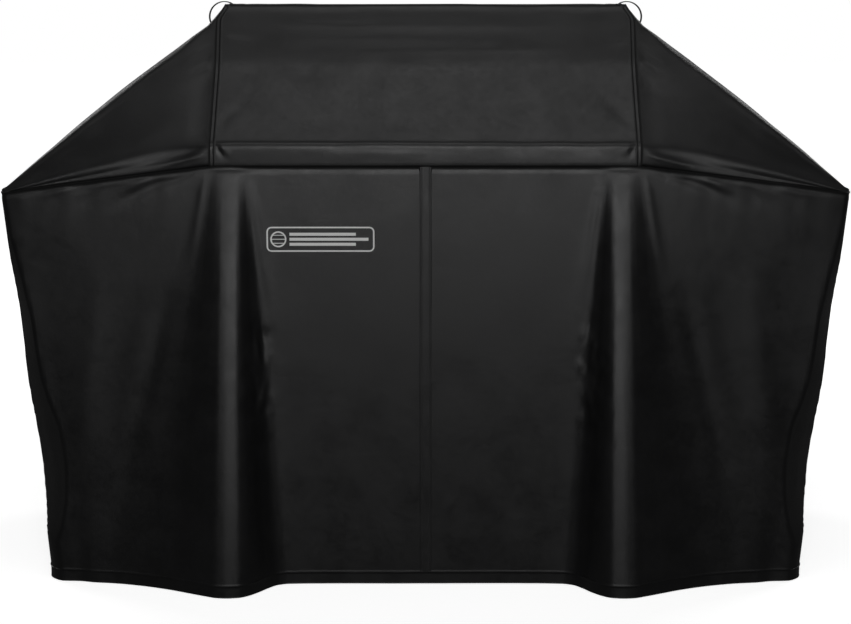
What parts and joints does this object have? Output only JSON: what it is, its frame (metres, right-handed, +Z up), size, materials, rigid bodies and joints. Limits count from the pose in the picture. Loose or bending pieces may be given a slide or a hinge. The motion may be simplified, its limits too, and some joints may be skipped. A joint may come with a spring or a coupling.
{
  "type": "grill cover",
  "caption": "Fitted black cloth cover for a cart grill: sloping hood box, wings over the side shelves, long skirt, side vents, buckled straps and hanging loops.",
  "frame": {"origin": "middle of the cover's plan, on the ground that the hem stands on", "axes": "+Z up, -Y the front face, +X the viewer's right when facing the front"},
  "size_m": [1.686, 0.74, 1.1767],
  "materials": {
    "cover_cloth": "satin",
    "seam_band": "satin",
    "webbing": "matte",
    "moulded_plastic": "satin",
    "vent_mesh": "matte",
    "print": "satin"
  },
  "bodies": {
    "cover": {"hood_top_panel": "cover_cloth", "hood_front_panel": "cover_cloth", "hood_rear_panel": "cover_cloth", "left_wing_top_panel": "cover_cloth", "left_wing_front_panel": "cover_cloth", "left_wing_rear_panel": "cover_cloth", "right_wing_top_panel": "cover_cloth", "right_wing_front_panel": "cover_cloth", "right_wing_rear_panel": "cover_cloth", "front_skirt_left": "cover_cloth", "front_skirt_right": "cover_cloth", "front_centre_seam": "seam_band", "rear_skirt_left": "cover_cloth", "rear_skirt_right": "cover_cloth", "rear_centre_seam": "seam_band", "left_side_skirt": "cover_cloth", "right_side_skirt": "cover_cloth", "front_hem": "seam_band", "rear_hem": "seam_band", "left_hem": "seam_band", "right_hem": "seam_band", "left_vent_mesh": "vent_mesh", "left_vent_binding": "seam_band", "right_vent_mesh": "vent_mesh", "right_vent_binding": "seam_band", "left_front_strap": "webbing", "left_rear_strap": "webbing", "right_front_strap": "webbing", "right_rear_strap": "webbing", "left_front_strap_patch": "webbing", "left_rear_strap_patch": "webbing", "right_front_strap_patch": "webbing", "right_rear_strap_patch": "webbing", "left_buckle_socket": "moulded_plastic", "right_buckle_socket": "moulded_plastic", "left_loop_patches": "webbing", "right_loop_patches": "webbing", "front_badge": "print"},
    "left_plug": {"left_buckle_plug": "moulded_plastic"},
    "left_latch_upper": {"left_latch_arm_upper": "moulded_plastic"},
    "left_latch_lower": {"left_latch_arm_lower": "moulded_plastic"},
    "left_loop": {"left_hanging_loop": "webbing"},
    "right_plug": {"right_buckle_plug": "moulded_plastic"},
    "right_latch_upper": {"right_latch_arm_upper": "moulded_plastic"},
    "right_latch_lower": {"right_latch_arm_lower": "moulded_plastic"},
    "right_loop": {"right_hanging_loop": "webbing"}
  },
  "joints": [
    {"name": "left_buckle_pull", "type": "slide", "parent": "cover", "child": "left_plug", "axis": [0, 1, 0], "range_m": [0, 0.03], "deforming": ["left_rear_strap", "left_latch_arm_upper", "left_latch_arm_lower"]},
    {"name": "left_latch_squeeze_upper", "type": "hinge", "parent": "left_plug", "child": "left_latch_upper", "pos_m": [-0.81706, 0.0033, 0.41089], "axis": [0.9966, 0, 0.0827], "range_deg": [0, 10], "stiffness_Nm_per_rad": 0.05},
    {"name": "left_latch_squeeze_lower", "type": "hinge", "parent": "left_plug", "child": "left_latch_lower", "pos_m": [-0.81549, 0.0033, 0.39195], "axis": [-0.9966, 0, -0.0827], "range_deg": [0, 10], "stiffness_Nm_per_rad": 0.05},
    {"name": "left_loop_swing", "type": "hinge", "parent": "cover", "child": "left_loop", "pos_m": [-0.41931, -0.085, 1.15397], "axis": [0.7689, 0, 0.6394], "range_deg": [-20, 20], "stiffness_Nm_per_rad": 0.03},
    {"name": "right_buckle_pull", "type": "slide", "parent": "cover", "child": "right_plug", "axis": [0, 1, 0], "range_m": [0, 0.03], "deforming": ["right_rear_strap", "right_latch_arm_upper", "right_latch_arm_lower"]},
    {"name": "right_latch_squeeze_upper", "type": "hinge", "parent": "right_plug", "child": "right_latch_upper", "pos_m": [0.81706, 0.0033, 0.41089], "axis": [0.9966, 0, -0.0827], "range_deg": [0, 10], "stiffness_Nm_per_rad": 0.05},
    {"name": "right_latch_squeeze_lower", "type": "hinge", "parent": "right_plug", "child": "right_latch_lower", "pos_m": [0.81549, 0.0033, 0.39195], "axis": [-0.9966, 0, 0.0827], "range_deg": [0, 10], "stiffness_Nm_per_rad": 0.05},
    {"name": "right_loop_swing", "type": "hinge", "parent": "cover", "child": "right_loop", "pos_m": [0.41931, -0.085, 1.15397], "axis": [0.7689, 0, -0.6394], "range_deg": [-20, 20], "stiffness_Nm_per_rad": 0.03}
  ],
  "couplings": [
    {"joint": "left_latch_squeeze_lower", "follows": "left_latch_squeeze_upper", "ratio": 1},
    {"joint": "right_latch_squeeze_lower", "follows": "right_latch_squeeze_upper", "ratio": 1}
  ]
}
